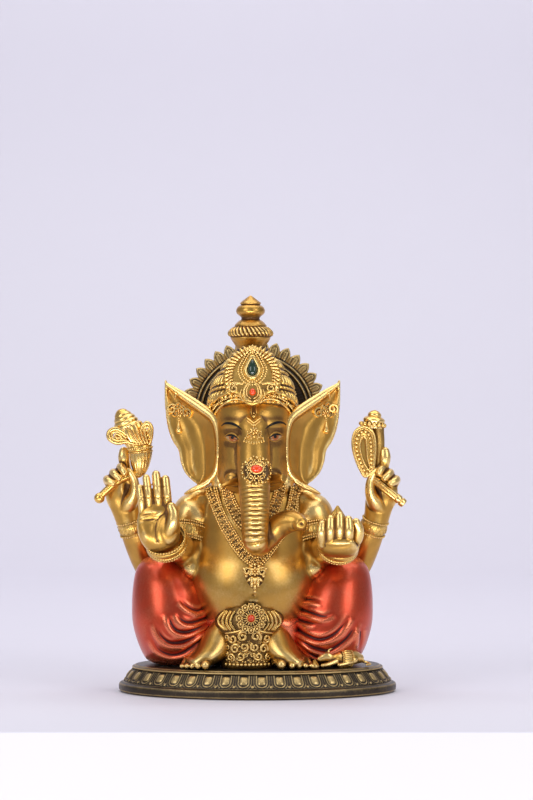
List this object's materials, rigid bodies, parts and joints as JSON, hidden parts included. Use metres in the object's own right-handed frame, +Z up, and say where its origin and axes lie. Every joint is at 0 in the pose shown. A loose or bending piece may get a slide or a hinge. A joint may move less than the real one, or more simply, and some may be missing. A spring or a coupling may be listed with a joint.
{
  "type": "seated elephant-headed idol",
  "caption": "Seated elephant-headed figurine with front and rear arms, crown, sun-disc halo, red draped legs and a mouse, on an oval petal plinth.",
  "frame": {"origin": "the middle of the outline's bottom, on the table under the felt pad", "axes": "+Z up, the figure faces -Y, its own right hand is towards -X"},
  "size_m": [0.1647, 0.1, 0.2054],
  "materials": {
    "antique_gold": "metallic gold lacquer on cast resin, toned brown in the hollows",
    "relief_gold": "rubbed gold over a black-brown ground",
    "metallic_red": "metallic red lacquer, darkened in the folds",
    "dark_bronze": "blackened bronze paint, rubbed gold on the edges",
    "red_stone": "polished red-orange cabochon",
    "green_stone": "polished green-black cabochon",
    "black_felt": "black felt pad"
  },
  "bodies": {
    "root": {"base_plinth": "dark_bronze", "belt_rosette": "relief_gold", "belt_stone": "red_stone", "brow_jewel": "relief_gold", "brow_mark": "relief_gold", "collar": "relief_gold", "crown_brow_band": "relief_gold", "crown_dome": "relief_gold", "crown_finial": "relief_gold", "crown_front_plate": "relief_gold", "crown_green_stone": "green_stone", "crown_red_stone": "red_stone", "dhoti_left_leg": "metallic_red", "dhoti_right_leg": "metallic_red", "dhoti_seat": "metallic_red", "felt_pad": "black_felt", "goad": "relief_gold", "halo_plate": "dark_bronze", "head": "antique_gold", "left_armlet": "relief_gold", "left_bracelet": "relief_gold", "left_ear": "antique_gold", "left_ear_jewel": "relief_gold", "left_foot": "antique_gold", "left_forearm": "antique_gold", "left_front_hand": "antique_gold", "left_rear_bracelet": "relief_gold", "left_rear_forearm": "antique_gold", "left_rear_hand": "antique_gold", "left_rear_upper_arm": "antique_gold", "left_tusk_stub": "antique_gold", "left_upper_arm": "antique_gold", "long_necklace": "relief_gold", "mouse": "antique_gold", "mouse_cloth": "relief_gold", "mouse_sweet": "antique_gold", "noose": "relief_gold", "offered_sweet": "relief_gold", "pendant": "relief_gold", "right_armlet": "relief_gold", "right_bracelet": "relief_gold", "right_ear": "antique_gold", "right_ear_jewel": "relief_gold", "right_foot": "antique_gold", "right_forearm": "antique_gold", "right_front_hand": "antique_gold", "right_rear_bracelet": "relief_gold", "right_rear_forearm": "antique_gold", "right_rear_hand": "antique_gold", "right_rear_upper_arm": "antique_gold", "right_tusk": "antique_gold", "right_upper_arm": "antique_gold", "torso": "antique_gold", "trunk": "antique_gold", "trunk_jewel": "relief_gold", "trunk_stone": "red_stone", "waist_sash": "relief_gold"}
  },
  "joints": []
}
